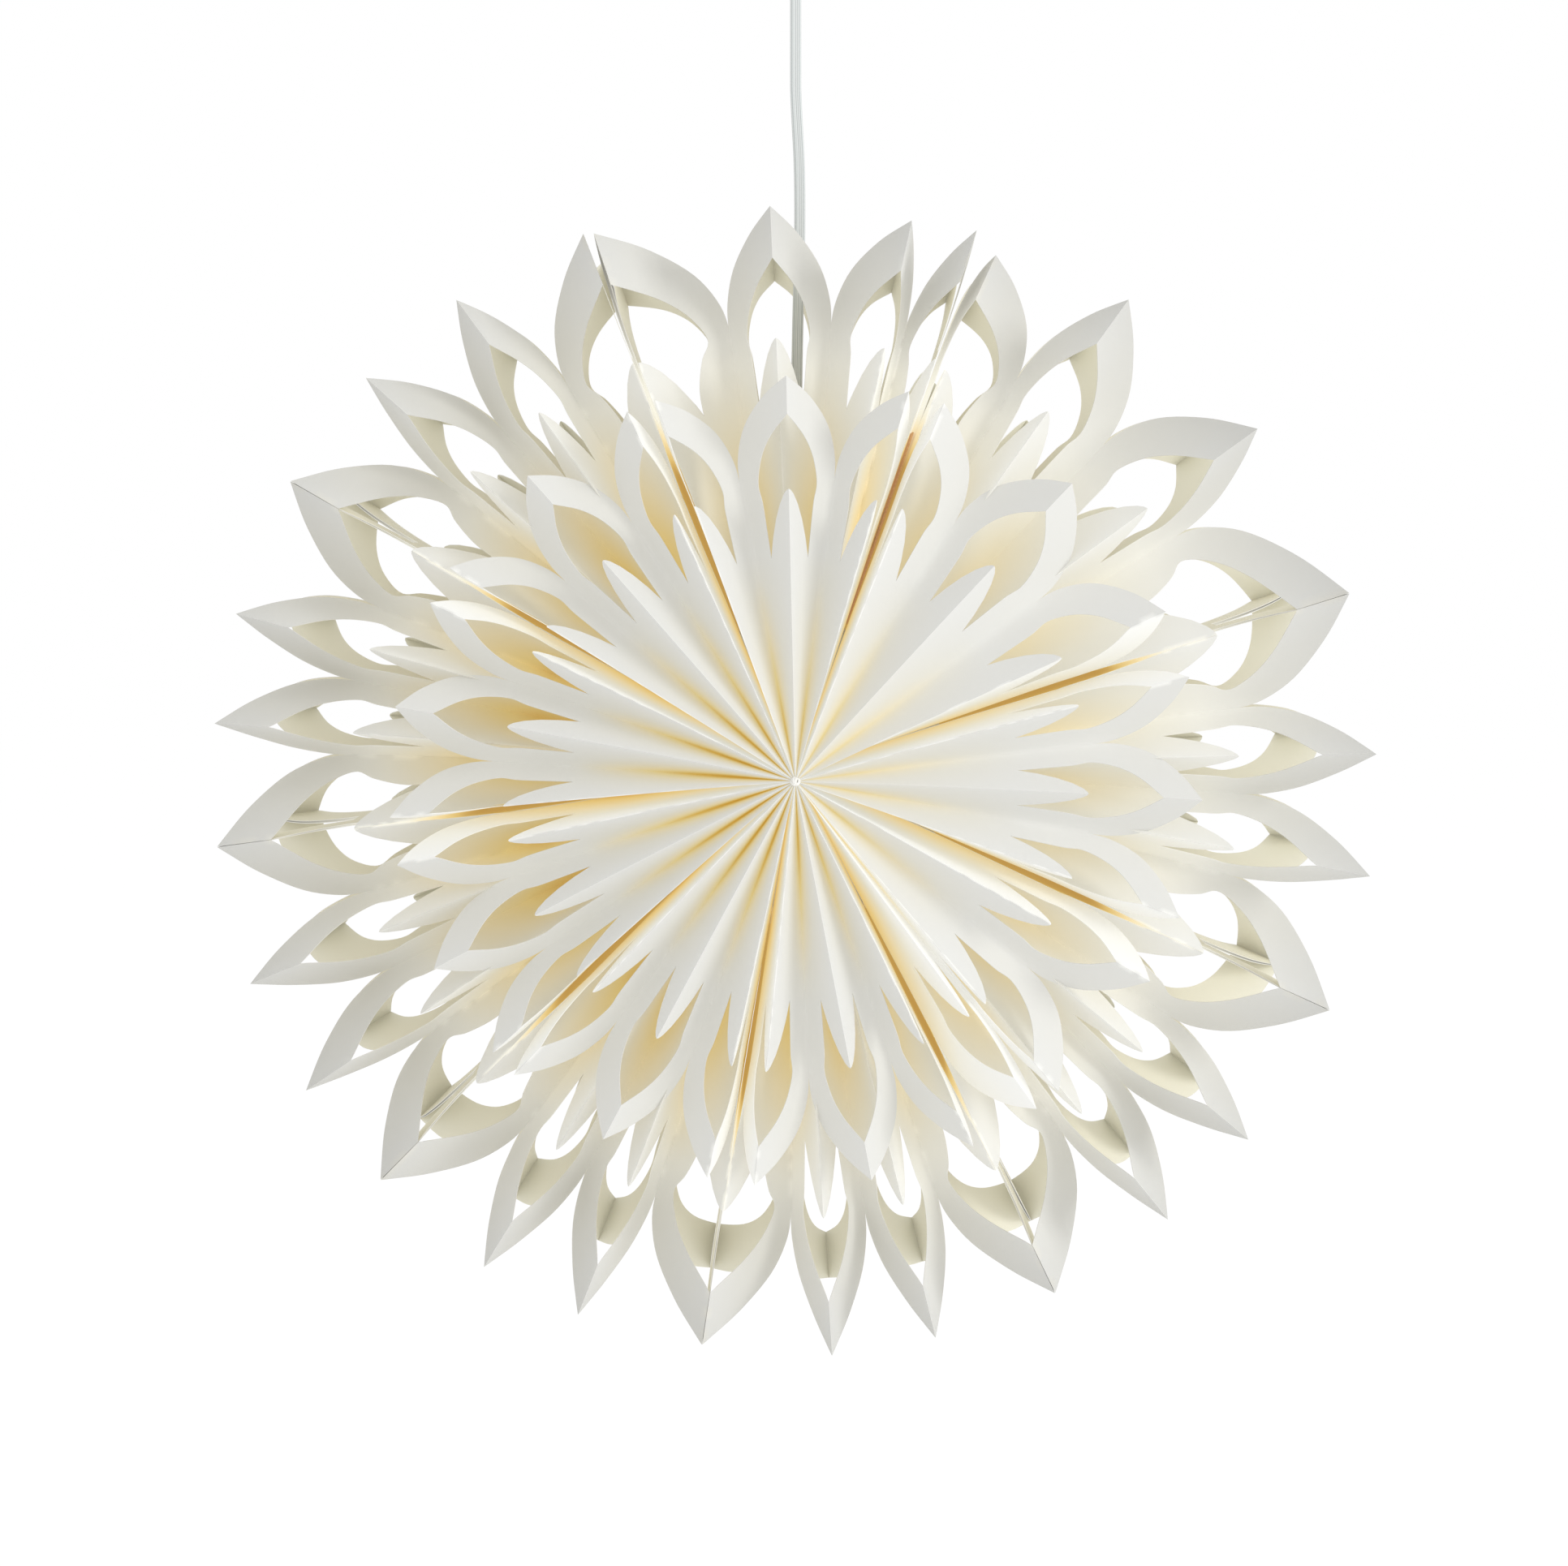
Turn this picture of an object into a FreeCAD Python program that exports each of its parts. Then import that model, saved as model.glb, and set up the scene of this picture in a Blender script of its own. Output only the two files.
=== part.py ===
import FreeCAD, Part
import os
import Sketcher
from math import cos, sin, tan, radians
from FreeCAD import Vector

# Folding paper star lamp, 600 mm across, hung from a ceiling hook on a flat twin cord.
# Frame: origin where the hook's shank meets the ceiling, +Z up, the star faces -Y, millimetres.

doc = FreeCAD.newDocument("paper_star")
sheet = doc.addObject("Spreadsheet::Sheet", "Sizes")

SIZES = {
    # the star: radii in its own plane, depths forward of its mid-plane
    "star_z": -480.0,
    "hub_radius": 8.0,
    "cavity_radius": 80.5,
    "paper_axial": 0.7,
    "paper_side": 0.3,
    "star_tip": 300.0,
    "star_ring_inside": 273.0,
    "star_spike": 231.0,
    "star_notch": 196.0,
    "star_valley": 236.0,
    "star_pole_depth": 43.0,
    "star_ridge_rise": 0.165,
    "star_valley_fall": 0.125,
    "front_tip": 210.0,
    "front_ring_inside": 190.0,
    "front_spike": 151.0,
    "front_notch": 116.0,
    "front_valley": 157.0,
    "front_pole_depth": 112.0,
    "front_ridge_fall": 0.05,
    "front_valley_fall": 0.25,
    "flap_start": 14.0,
    "flap_clearance": 1.5,
    "module_gap": 0.25,
    "closing_gap": 1.0,
    "knot_radius": 2.6,
    # closing seam
    "card_thick": 0.8,
    "card_start": 83.0,
    "card_end": 190.0,
    "card_half_depth": 48.0,
    "patch_thick": 0.4,
    "patch_long": 22.0,
    "patch_wide": 18.0,
    # ceiling fitting
    "shank_radius": 2.0,
    "shank_length": 18.0,
    "shank_drop": 8.0,
    "hook_radius": 7.0,
    "hook_wire": 1.75,
    "hook_turn": 285.0,
    "loop_radius": 6.0,
    "loop_wire": 1.5,
    "swing_z": -18.4,
    "grip_radius": 6.5,
    "grip_top": -29.0,
    "grip_low": -46.0,
    "grip_screw_radius": 1.5,
    "cup_radius": 40.0,
    "cup_foot_radius": 14.0,
    "cup_wall": 1.6,
    "cup_rim_z": -4.0,
    "cup_floor_z": -51.0,
    "grommet_radius": 5.5,
    "grommet_bore": 3.5,
    "grommet_flange": 7.5,
    # cord
    "cord_width": 6.0,
    "cord_thick": 3.2,
    # lampholder, heights above the star's centre
    "cap_top": 98.0,
    "cap_low": 74.7,
    "cap_radius": 17.0,
    "cap_bore": 14.2,
    "cap_roof": 88.0,
    "cap_entry": 3.4,
    "shell_radius": 14.0,
    "shell_bore": 12.0,
    "shell_top": 84.0,
    "shell_low": 20.0,
    "collar_radius": 18.0,
    "collar_low": 69.6,
    "collar_top": 72.2,
    "bar_low": 72.4,
    "bar_top": 74.4,
    "bar_half_length": 44.0,
    "bar_half_width": 25.0,
    "bar_bore": 14.2,
    "insert_radius": 11.9,
    "insert_low": 62.0,
    "insert_top": 80.0,
    "sleeve_radius": 8.4,
    "sleeve_bore": 7.3,
    "sleeve_low": 33.0,
    "contact_low": 58.6,
    "contact_radius": 2.5,
    "terminal_radius": 1.8,
    "terminal_spread": 7.5,
    "terminal_top": 83.0,
    "ring_radius": 19.0,
    "ring_bore": 14.15,
    "ring_low": 26.0,
    "ring_top": 36.0,
    # bulb
    "screw_radius": 6.95,
    "screw_low": 31.0,
    "screw_top": 55.5,
    "tip_radius": 3.2,
    "tip_top": 58.0,
    "base_radius": 10.8,
    "base_neck": 8.0,
    "base_low": 8.0,
    "globe_radius": 22.5,
    "globe_z": -30.0,
}
for row, (alias, value) in enumerate(SIZES.items(), start=1):
    sheet.set(f"A{row}", alias)
    sheet.set(f"B{row}", str(value))
    sheet.setAlias(f"B{row}", alias)
doc.recompute()


def size(alias):
    return float(sheet.get(alias))


# Where each module's folds stand round the star, in degrees from +X towards +Z: the seam it
# starts at, then its front folds and star folds in turn. A hand-opened fan is uneven.
MODULES = [
    {"seam": 71.2, "front": (74.0, 91.3, 110.0), "star": (78.6, 92.6)},
    {"seam": 111.3, "front": (114.2, 130.8, 147.8), "star": (124.4, 136.0)},
    {"seam": 149.0, "front": (153.4, 168.9, 184.6), "star": (162.4, 173.6)},
    {"seam": 186.2, "front": (191.4, 207.0, 221.6), "star": (199.8, 211.6)},
    {"seam": 223.3, "front": (226.0, 241.6, 257.4), "star": (237.0, 247.6)},
    {"seam": 260.3, "front": (264.2, 280.9, 296.2), "star": (273.7, 284.3)},
    {"seam": 297.5, "front": (306.6, 310.6, 331.0), "star": (310.8, 322.4)},
    {"seam": 337.2, "front": (340.9, 357.9, 375.4), "star": (351.4, 363.4)},
    {"seam": 379.3, "front": (385.2, 407.6, 428.8), "star": (398.0, 415.8)},
]
FULL_TURN = 360.0
WIDE_SHARE = 0.68  # share of a seam petal's half in the step to the next star fold

star_z = size("star_z")
sheets = []


def point(angle, radius, depth, side):
    """A point of the star; side 1 is its front, facing -Y, and -1 its back."""
    turn = radians(angle)
    return Vector(radius * cos(turn), -side * depth, star_z + radius * sin(turn))


def between(low, high, share):
    return low + (high - low) * share


def star_folds(index):
    """Angles of one module's star folds: ridge, valley, ridge and so on, seam to seam."""
    module = MODULES[index]
    last = index == len(MODULES) - 1
    seam_end = MODULES[0]["seam"] + FULL_TURN if last else MODULES[index + 1]["seam"]
    first_gap = size("closing_gap") if index == 0 else size("module_gap")
    last_gap = size("closing_gap") if last else size("module_gap")
    start, end = module["seam"] + first_gap, seam_end - last_gap
    one, two = module["star"]
    return [start, between(start, one, WIDE_SHARE), one, between(one, two, 0.5), two,
            between(end, two, WIDE_SHARE), end]


def star_ridge_depth(radius):
    return size("star_pole_depth") + size("star_ridge_rise") * radius


def star_valley_depth(radius):
    return size("star_pole_depth") - size("star_valley_fall") * radius


def front_ridge_depth(radius):
    return size("front_pole_depth") - size("front_ridge_fall") * radius


def front_valley_depth(radius):
    return size("front_pole_depth") - size("front_valley_fall") * radius


def star_depth(index, angle, radius):
    """Depth of a module's star sheet at any angle inside the module."""
    folds = star_folds(index)
    for number in range(len(folds) - 1):
        if folds[number] <= angle <= folds[number + 1]:
            share = (angle - folds[number]) / (folds[number + 1] - folds[number])
            to_valley = share if number % 2 == 0 else 1.0 - share
            return between(star_ridge_depth(radius), star_valley_depth(radius), to_valley)
    return star_ridge_depth(radius)


def petal_outline(place, start, tier):
    """Edges of half a die-cut petal: spike, leaf-shaped hole and ring, with u 0 at the ridge
    and 1 at the valley. place turns (radius, u) into a point."""
    spike, notch = size(tier + "_spike"), size(tier + "_notch")
    ring, tip, valley = size(tier + "_ring_inside"), size(tier + "_tip"), size(tier + "_valley")
    notch_point = place(notch, 0.52)
    tip_point, valley_point = place(tip, 0.0), place(valley, 1.0)
    edges = [
        Part.LineSegment(place(start, 0.0), place(spike, 0.0)),
        Part.Arc(place(spike, 0.0), place(between(notch, spike, 0.62), 0.3), notch_point),
        Part.Arc(notch_point, place(between(notch, ring, 0.62), 0.55), place(ring, 0.0)),
        Part.LineSegment(place(ring, 0.0), tip_point),
        Part.Arc(tip_point, place(between(valley, tip, 0.5), 0.7), valley_point),
        Part.LineSegment(valley_point, place(start, 1.0)),
    ]
    return [edge.toShape() for edge in edges]


def flat_piece(edges, closing, thickness):
    """A flat sheet from its edges and the straight edges that close them, pushed out along
    thickness."""
    lines = [Part.makeLine(a, b) for a, b in closing]
    wire = Part.Wire(Part.__sortEdges__(edges + lines))
    return Part.Face(wire).extrude(thickness)


def pleat(tier, ridge_angle, valley_angle, side):
    """One flat panel between a ridge and the valley beside it."""
    ridge_depth = star_ridge_depth if tier == "star" else front_ridge_depth
    valley_depth = star_valley_depth if tier == "star" else front_valley_depth

    def place(radius, u):
        ridge = point(ridge_angle, radius, ridge_depth(radius), side)
        valley = point(valley_angle, radius, valley_depth(radius), side)
        return ridge * (1.0 - u) + valley * u

    start = size("hub_radius")
    closing = [(place(start, 1.0), place(start, 0.0))]
    outward = Vector(0, -side * size("paper_axial"), 0)
    return flat_piece(petal_outline(place, start, tier), closing, outward)


def across(angle, amount):
    """A step of amount millimetres sideways, towards larger angles."""
    turn = radians(angle)
    return Vector(-sin(turn) * amount, 0, cos(turn) * amount)


def seam_face(angle, inward):
    """The flat side of a module, in the plane of its seam, from its front petal to its back
    petal and open round the bulb."""
    start = size("cavity_radius")
    fold_drop = 0.8
    edges = []
    ends = []
    for side in (1, -1):
        def place(radius, u, side=side):
            depth = between(star_ridge_depth(radius) - fold_drop, star_valley_depth(radius), u)
            return point(angle, radius, depth, side)

        edges += petal_outline(place, start, "star")[:-1]
        ends.append((place(start, 0.0), place(size("star_valley"), 1.0)))
    (front_start, front_valley), (back_start, back_valley) = ends
    closing = [(front_valley, back_valley), (back_start, front_start)]
    return flat_piece(edges, closing, across(angle, inward * size("paper_side")))


def glue_flap(index, angle, outward, side):
    """The end pleat of a front rosette, which runs back along the seam to the star sheet."""
    start, thin = size("flap_start"), size("paper_axial")
    stand_off = thin + size("flap_clearance")

    def place(radius, u):
        top = front_ridge_depth(radius) + thin
        foot = star_depth(index, angle, radius) + stand_off
        return point(angle, radius, between(top, foot, u), side)

    closing = [(place(start, 1.0), place(start, 0.0))]
    thickness = across(angle, outward * size("paper_side"))
    return flat_piece(petal_outline(place, start, "front"), closing, thickness)


def sheet_piece(label, solids):
    """A folded sheet: its flat panels meet face to face along the folds."""
    piece = doc.addObject("Part::Feature", label)
    piece.Shape = Part.makeCompound(solids)
    piece.Label = label
    sheets.append(piece)


# Nine modules: a star bag with front sheet, back sheet and two seam faces, and a rosette on
# each side of it.
for index, module in enumerate(MODULES):
    folds = star_folds(index)
    bag = [seam_face(folds[0], 1), seam_face(folds[-1], -1)]
    first, middle, last = module["front"]
    front_folds = [first, between(first, middle, 0.5), middle, between(middle, last, 0.5), last]
    for side, name in ((1, "front"), (-1, "back")):
        for number in range(len(folds) - 1):
            ends = folds[number], folds[number + 1]
            ridge, valley = ends if number % 2 == 0 else ends[::-1]
            bag.append(pleat("star", ridge, valley, side))
        rosette = [glue_flap(index, first, -1, side), glue_flap(index, last, 1, side)]
        for number in range(len(front_folds) - 1):
            ends = front_folds[number], front_folds[number + 1]
            ridge, valley = ends if number % 2 == 0 else ends[::-1]
            rosette.append(pleat("front", ridge, valley, side))
        sheet_piece(f"{name}_rosette_{index + 1}", rosette)
    sheet_piece(f"star_bag_{index + 1}", bag)


def shown(alias):
    return "Sizes." + alias


pieces = []


def keep(item, label):
    item.Label = label
    pieces.append(item)
    return item


def place_at(item, x="0", y="0", z="0"):
    for axis, value in (("x", x), ("y", y), ("z", z)):
        item.setExpression("Placement.Base." + axis, value)


def rod(name, radius, low, high, x="0", y="0"):
    """An upright round rod between two heights; every size is an expression."""
    item = doc.addObject("Part::Cylinder", name)
    item.setExpression("Radius", radius)
    item.setExpression("Height", f"({high}) - ({low})")
    place_at(item, x, y, low)
    return item


def bored(name, solid, hole):
    item = doc.addObject("Part::Cut", name)
    item.Base, item.Tool = solid, hole
    return item


def joined(name, *solids):
    item = doc.addObject("Part::MultiFuse", name)
    item.Shapes = list(solids)
    return item


def above(alias):
    """A height measured from the star's centre."""
    return f"Sizes.star_z + Sizes.{alias}"


def turned_body(label, outline, base):
    """A PartDesign body turned about the Z axis. outline is a closed list of (radius, height)
    expressions over the sheet; base is the height that they are measured from."""
    body = doc.addObject("PartDesign::Body", label + "_body")
    sketch = body.newObject("Sketcher::SketchObject", label + "_section")
    upright = [f for f in body.Origin.OriginFeatures if f.Role == "XZ_Plane"][0]
    sketch.AttachmentSupport = [(upright, "")]
    sketch.MapMode = "FlatFace"
    rough = [(float(sheet.evalExpression(r)), float(sheet.evalExpression(z)))
             for r, z in outline]
    count = len(outline)
    for number in range(count):
        r_one, z_one = rough[number]
        r_two, z_two = rough[(number + 1) % count]
        line = Part.LineSegment(Vector(r_one, z_one, 0), Vector(r_two, z_two, 0))
        sketch.addGeometry(line, False)
    for number in range(count):
        following = (number + 1) % count
        sketch.addConstraint(Sketcher.Constraint("Coincident", number, 2, following, 1))
    for number, (radius, height) in enumerate(outline):
        for kind, value, text in (("DistanceX", rough[number][0], radius),
                                  ("DistanceY", rough[number][1], height)):
            if abs(value) < 1e-9:
                on_axis = -2 if kind == "DistanceX" else -1
                sketch.addConstraint(Sketcher.Constraint("PointOnObject", number, 1, on_axis))
            else:
                which = sketch.addConstraint(
                    Sketcher.Constraint(kind, -1, 1, number, 1, value))
                sketch.setExpression(f"Constraints[{which}]", text)
    turn = body.newObject("PartDesign::Revolution", label + "_turn")
    turn.Profile = sketch
    turn.ReferenceAxis = (sketch, ["V_Axis"])
    turn.Angle = FULL_TURN
    place_at(body, z=base)
    return keep(body, label)


# Ceiling fitting: a screw hook, the loop and grip that carry the cord, and the cup over them.
shank = rod("shank", shown("shank_radius"), "0", shown("shank_length"))
stem = rod("stem", shown("hook_wire"), "-Sizes.shank_drop", "0")
crook = doc.addObject("Part::Torus", "crook")
crook.setExpression("Radius1", shown("hook_radius"))
crook.setExpression("Radius2", shown("hook_wire"))
crook.setExpression("Angle3", shown("hook_turn"))
stand_up = FreeCAD.Rotation(Vector(1, 0, 0), 90)
start_at_top = FreeCAD.Rotation(Vector(0, 1, 0), -90)
crook.Placement.Rotation = start_at_top * stand_up
place_at(crook, z="-Sizes.shank_drop - Sizes.hook_radius")
keep(joined("hook_whole", shank, stem, crook), "ceiling_hook")


def loop_ring(name):
    """A ring through the hook, standing fore and aft."""
    ring = doc.addObject("Part::Torus", name)
    ring.setExpression("Radius1", shown("loop_radius"))
    ring.setExpression("Radius2", shown("loop_wire"))
    ring.Placement.Rotation = FreeCAD.Rotation(Vector(0, 1, 0), 90)
    place_at(ring, z="Sizes.swing_z - Sizes.loop_radius")
    return ring


def cross_pin(name, overhang):
    """A rod fore and aft through the grip."""
    pin = doc.addObject("Part::Cylinder", name)
    pin.setExpression("Radius", shown("grip_screw_radius"))
    pin.setExpression("Height", f"2 * (Sizes.grip_radius + {overhang})")
    pin.Placement.Rotation = FreeCAD.Rotation(Vector(1, 0, 0), 90)
    place_at(pin, y=f"Sizes.grip_radius + {overhang}", z="Sizes.grip_low + 6")
    return pin


keep(loop_ring("loop"), "hanging_loop")
grip_rod = rod("grip_rod", shown("grip_radius"), shown("grip_low"), shown("grip_top"))
grip_seats = joined("grip_seats", cross_pin("screw_seat", 1), loop_ring("loop_seat"))
keep(bored("grip", grip_rod, grip_seats), "cord_grip")
keep(cross_pin("screw", 0), "grip_screw")

turned_body("ceiling_cup", [
    (shown("grommet_radius"), shown("cup_floor_z")),
    (shown("cup_foot_radius"), shown("cup_floor_z")),
    (shown("cup_radius"), "Sizes.cup_rim_z - 12"),
    (shown("cup_radius"), shown("cup_rim_z")),
    ("Sizes.cup_radius - Sizes.cup_wall", shown("cup_rim_z")),
    ("Sizes.cup_radius - Sizes.cup_wall", "Sizes.cup_rim_z - 11.5"),
    ("Sizes.cup_foot_radius - 0.6", "Sizes.cup_floor_z + Sizes.cup_wall"),
    (shown("grommet_radius"), "Sizes.cup_floor_z + Sizes.cup_wall"),
], "0")

grommet_rod = rod("grommet_rod", shown("grommet_radius"), shown("cup_floor_z"),
                  "Sizes.cup_floor_z + Sizes.cup_wall")
grommet_foot = rod("grommet_foot", shown("grommet_flange"), "Sizes.cup_floor_z - 1.5",
                   shown("cup_floor_z"))
grommet_hole = rod("grommet_hole", shown("grommet_bore"), "Sizes.cup_floor_z - 3",
                   "Sizes.cup_floor_z + Sizes.cup_wall + 1")
keep(bored("grommet", joined("grommet_solid", grommet_rod, grommet_foot), grommet_hole),
     "cup_grommet")

# Lampholder: cap, shell with its collar, support bar for the paper, ceramic insert, brass
# sleeve, sprung centre contact, terminals and shade ring.
turned_body("holder_cap", [
    (shown("cap_entry"), shown("cap_top")),
    ("Sizes.cap_radius - 9", shown("cap_top")),
    (shown("cap_radius"), "Sizes.cap_top - 9"),
    (shown("cap_radius"), shown("cap_low")),
    (shown("cap_bore"), shown("cap_low")),
    (shown("cap_bore"), "Sizes.cap_roof - 1"),
    ("Sizes.cap_bore - 8", "Sizes.cap_roof + 5"),
    (shown("cap_entry"), "Sizes.cap_roof + 5"),
], shown("star_z"))

turned_body("holder_shell", [
    (shown("shell_bore"), shown("shell_low")),
    (shown("shell_radius"), shown("shell_low")),
    (shown("shell_radius"), shown("collar_low")),
    (shown("collar_radius"), shown("collar_low")),
    (shown("collar_radius"), shown("collar_top")),
    (shown("shell_radius"), shown("collar_top")),
    (shown("shell_radius"), shown("shell_top")),
    (shown("shell_bore"), shown("shell_top")),
], shown("star_z"))

insert_rod = rod("insert_rod", shown("insert_radius"), above("insert_low"),
                 above("insert_top"))
insert_foot = rod("insert_foot", "Sizes.sleeve_radius + 1.6", "Sizes.star_z + Sizes.sleeve_low",
                  above("insert_low"))
foot_hole = rod("foot_hole", shown("sleeve_radius"), "Sizes.star_z + Sizes.sleeve_low - 1",
                above("insert_low"))
terminal_seats = [rod(f"terminal_seat_{n}", shown("terminal_radius"), "Sizes.star_z + 74",
                      "Sizes.star_z + Sizes.insert_top + 1", x=f"{s} * Sizes.terminal_spread")
                  for n, s in ((1, -1), (2, 1))]
insert_cuts = joined("insert_cuts", foot_hole, *terminal_seats)
keep(bored("insert", joined("insert_solid", insert_rod, insert_foot), insert_cuts),
     "holder_insert")

sleeve_rod = rod("sleeve_rod", shown("sleeve_radius"), above("sleeve_low"), above("insert_low"))
sleeve_hole = rod("sleeve_hole", shown("sleeve_bore"), "Sizes.star_z + Sizes.sleeve_low - 1",
                  "Sizes.star_z + Sizes.insert_low - 0.8")
contact_hole = rod("contact_hole", "Sizes.contact_radius + 0.6",
                   "Sizes.star_z + Sizes.insert_low - 2", "Sizes.star_z + Sizes.insert_low + 1")
keep(bored("sleeve", sleeve_rod, joined("sleeve_cuts", sleeve_hole, contact_hole)),
     "screw_sleeve")

keep(rod("contact", shown("contact_radius"), above("contact_low"), above("insert_low")),
     "centre_contact")
terminals = [rod(f"terminal_{n}", shown("terminal_radius"), "Sizes.star_z + 74",
                 above("terminal_top"), x=f"{s} * Sizes.terminal_spread")
             for n, s in ((1, -1), (2, 1))]
terminal_pair = doc.addObject("Part::Compound", "terminal_pair")
terminal_pair.Links = terminals
keep(terminal_pair, "terminal_screws")

# The support bar is a flat plate with round ends, bored for the holder's neck.
bar = doc.addObject("PartDesign::Body", "bar_body")
bar_sketch = bar.newObject("Sketcher::SketchObject", "bar_outline")
level = [f for f in bar.Origin.OriginFeatures if f.Role == "XY_Plane"][0]
bar_sketch.AttachmentSupport = [(level, "")]
bar_sketch.MapMode = "FlatFace"
half_long, half_wide = size("bar_half_length"), size("bar_half_width")
straight = half_long - half_wide
bar_sketch.addGeometry([
    Part.LineSegment(Vector(-straight, -half_wide, 0), Vector(straight, -half_wide, 0)),
    Part.ArcOfCircle(Part.Circle(Vector(straight, 0, 0), Vector(0, 0, 1), half_wide),
                     radians(-90), radians(90)),
    Part.LineSegment(Vector(straight, half_wide, 0), Vector(-straight, half_wide, 0)),
    Part.ArcOfCircle(Part.Circle(Vector(-straight, 0, 0), Vector(0, 0, 1), half_wide),
                     radians(90), radians(270)),
    Part.Circle(Vector(0, 0, 0), Vector(0, 0, 1), size("bar_bore")),
], False)
for one, end_one, two, end_two in ((0, 2, 1, 1), (1, 2, 2, 1), (2, 2, 3, 1), (3, 2, 0, 1)):
    bar_sketch.addConstraint(Sketcher.Constraint("Tangent", one, end_one, two, end_two))
bar_sketch.addConstraint(Sketcher.Constraint("Horizontal", 0))
bar_sketch.addConstraint(Sketcher.Constraint("Symmetric", 1, 3, 3, 3, -1, 1))
bar_sketch.addConstraint(Sketcher.Constraint("Coincident", 4, 3, -1, 1))
end_radius = bar_sketch.addConstraint(Sketcher.Constraint("Radius", 1, half_wide))
bar_sketch.setExpression(f"Constraints[{end_radius}]", shown("bar_half_width"))
end_place = bar_sketch.addConstraint(Sketcher.Constraint("DistanceX", -1, 1, 1, 3, straight))
bar_sketch.setExpression(f"Constraints[{end_place}]",
                         "Sizes.bar_half_length - Sizes.bar_half_width")
bore_radius = bar_sketch.addConstraint(Sketcher.Constraint("Radius", 4, size("bar_bore")))
bar_sketch.setExpression(f"Constraints[{bore_radius}]", shown("bar_bore"))
bar_pad = bar.newObject("PartDesign::Pad", "bar_pad")
bar_pad.Profile = bar_sketch
bar_pad.setExpression("Length", "Sizes.bar_top - Sizes.bar_low")
place_at(bar, z=above("bar_low"))
keep(bar, "support_bar")

ring_rod = rod("ring_rod", shown("ring_radius"), above("ring_low"), above("ring_top"))
ring_hole = rod("ring_hole", shown("ring_bore"), "Sizes.star_z + Sizes.ring_low - 1",
                "Sizes.star_z + Sizes.ring_top + 1")
keep(bored("ring", ring_rod, ring_hole), "shade_ring")

# Bulb: brass screw cap, contact tip, plastic base and frosted globe.
keep(rod("screw_cap", shown("screw_radius"), above("screw_low"), above("screw_top")),
     "bulb_screw_cap")
keep(rod("tip", shown("tip_radius"), above("screw_top"), above("tip_top")), "bulb_tip")
turned_body("bulb_base", [
    ("0", shown("screw_low")),
    ("0", shown("base_low")),
    ("Sizes.base_radius + 1.5", shown("base_low")),
    (shown("base_radius"), "Sizes.base_low + 8"),
    (shown("base_neck"), shown("screw_low")),
], shown("star_z"))
globe = doc.addObject("Part::Sphere", "globe")
globe.setExpression("Radius", shown("globe_radius"))
place_at(globe, z=above("globe_z"))
neck = doc.addObject("Part::Cone", "neck")
neck.setExpression("Radius1", "Sizes.globe_radius * 0.87")
neck.setExpression("Radius2", "Sizes.base_radius + 1.5")
neck.setExpression("Height", "Sizes.base_low - Sizes.globe_z - Sizes.globe_radius * 0.49")
place_at(neck, z="Sizes.star_z + Sizes.globe_z + Sizes.globe_radius * 0.49")
keep(joined("globe_whole", globe, neck), "bulb_globe")


# Closing seam: a stiff card on each end face, and the touch-close patches between them.
def seam_plate(label, low, high, spans, half_depth):
    """Flat plates in the closing seam, from low to high sideways of it. spans holds each
    plate's radial start and end, and its middle's depth."""
    angle = MODULES[0]["seam"]
    solids = []
    for start, end, middle in spans:
        corners = [point(angle, start, middle - half_depth, 1),
                   point(angle, end, middle - half_depth, 1),
                   point(angle, end, middle + half_depth, 1),
                   point(angle, start, middle + half_depth, 1)]
        face = Part.Face(Part.makePolygon(corners + corners[:1]))
        face.translate(across(angle, low))
        solids.append(face.extrude(across(angle, high - low)))
    sheet_piece(label, solids)


card, patch = size("card_thick"), size("patch_thick")
card_span = [(size("card_start"), size("card_end"), 0.0)]
half_patch = size("patch_wide") / 2
patch_middle = (size("card_start") + size("card_end")) / 2
patch_spans = [(patch_middle - size("patch_long") / 2, patch_middle + size("patch_long") / 2, s)
               for s in (-size("card_half_depth") / 2, size("card_half_depth") / 2)]
seam_plate("end_card_first", patch, patch + card, card_span, size("card_half_depth"))
seam_plate("end_card_last", -patch - card, -patch, card_span, size("card_half_depth"))
seam_plate("hook_patches", 0.0, patch, patch_spans, half_patch)
seam_plate("loop_patches", -patch, 0.0, patch_spans, half_patch)

# Thread knots that gather the rosettes' points, front and back.
knots = []
for number, side in ((1, -1), (2, 1)):
    knot = doc.addObject("Part::Sphere", f"knot_{number}")
    knot.setExpression("Radius", shown("knot_radius"))
    place_at(knot, y=f"{side} * (Sizes.front_pole_depth - 1)", z=shown("star_z"))
    knots.append(knot)
knot_pair = doc.addObject("Part::Compound", "knot_pair")
knot_pair.Links = knots
keep(knot_pair, "centre_knots")


# Cord: flat twin flex, pulled straight by the star's weight with a slight set from its coil.
CORD_ROUTE = [
    Vector(0.0, 0, size("grip_low")),
    Vector(0.0, 0, -108.0),
    Vector(3.0, 0, -172.0),
    Vector(0.0, 0, -284.0),
    Vector(0.0, 0, star_z + size("insert_top")),
]
RUN_SHARE = 0.45  # of the shorter run beside a turn, taken up by its arc


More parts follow.
